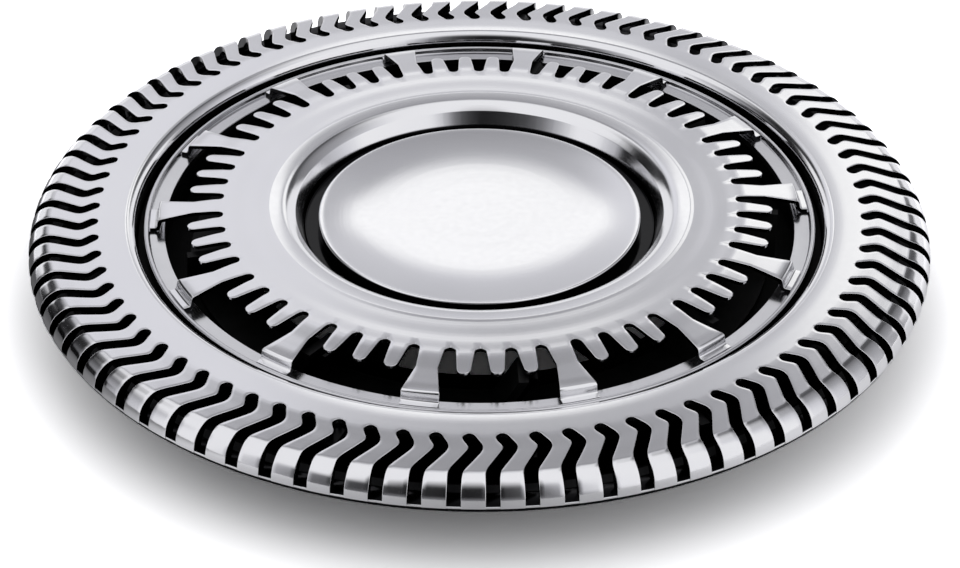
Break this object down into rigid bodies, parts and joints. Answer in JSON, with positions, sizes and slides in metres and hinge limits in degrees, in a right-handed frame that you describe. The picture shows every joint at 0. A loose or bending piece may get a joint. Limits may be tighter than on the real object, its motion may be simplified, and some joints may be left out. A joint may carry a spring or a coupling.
{
  "type": "rotary shaver head",
  "caption": "Round rotary shaver head: slotted steel guard cap with wavy slots, a spoked comb disc and dished centre over a spinning two-track cutter.",
  "frame": {"origin": "centre of the head on the surface that it rests on", "axes": "+Z along the cutter's spin axis, from the shaver's side up to the skin side"},
  "size_m": [0.023, 0.023, 0.0026],
  "materials": {
    "polished_steel": "mirror-polished stainless steel with faint turning marks",
    "blade_steel": "ground cutter steel",
    "black_plastic": "black moulded acetal",
    "grey_plastic": "dark grey moulded acetal",
    "bronze": "sintered bronze",
    "white_nylon": "natural nylon"
  },
  "bodies": {
    "guard": {"outer_guard_cap": "polished_steel", "comb_disc": "polished_steel", "comb_support_ring": "polished_steel", "centre_cap": "polished_steel", "link_ring": "black_plastic", "centre_clip_ring": "black_plastic", "pivot_pin": "blade_steel", "head_frame": "black_plastic", "keeper_ring": "grey_plastic"},
    "cutter": {"cutter_carrier": "black_plastic", "drive_bush": "grey_plastic", "pivot_bush": "bronze", "thrust_washer": "white_nylon", "outer_blade_ring": "blade_steel", "inner_blade_ring": "blade_steel", "outer_lifter_ring": "blade_steel", "inner_lifter_ring": "blade_steel", "outer_blade_rivets": "blade_steel", "inner_blade_rivets": "blade_steel"}
  },
  "joints": [
    {"name": "cutter_spin", "type": "hinge", "parent": "guard", "child": "cutter", "pos_m": [0, 0, 0], "axis": [0, 0, 1], "continuous": true}
  ]
}
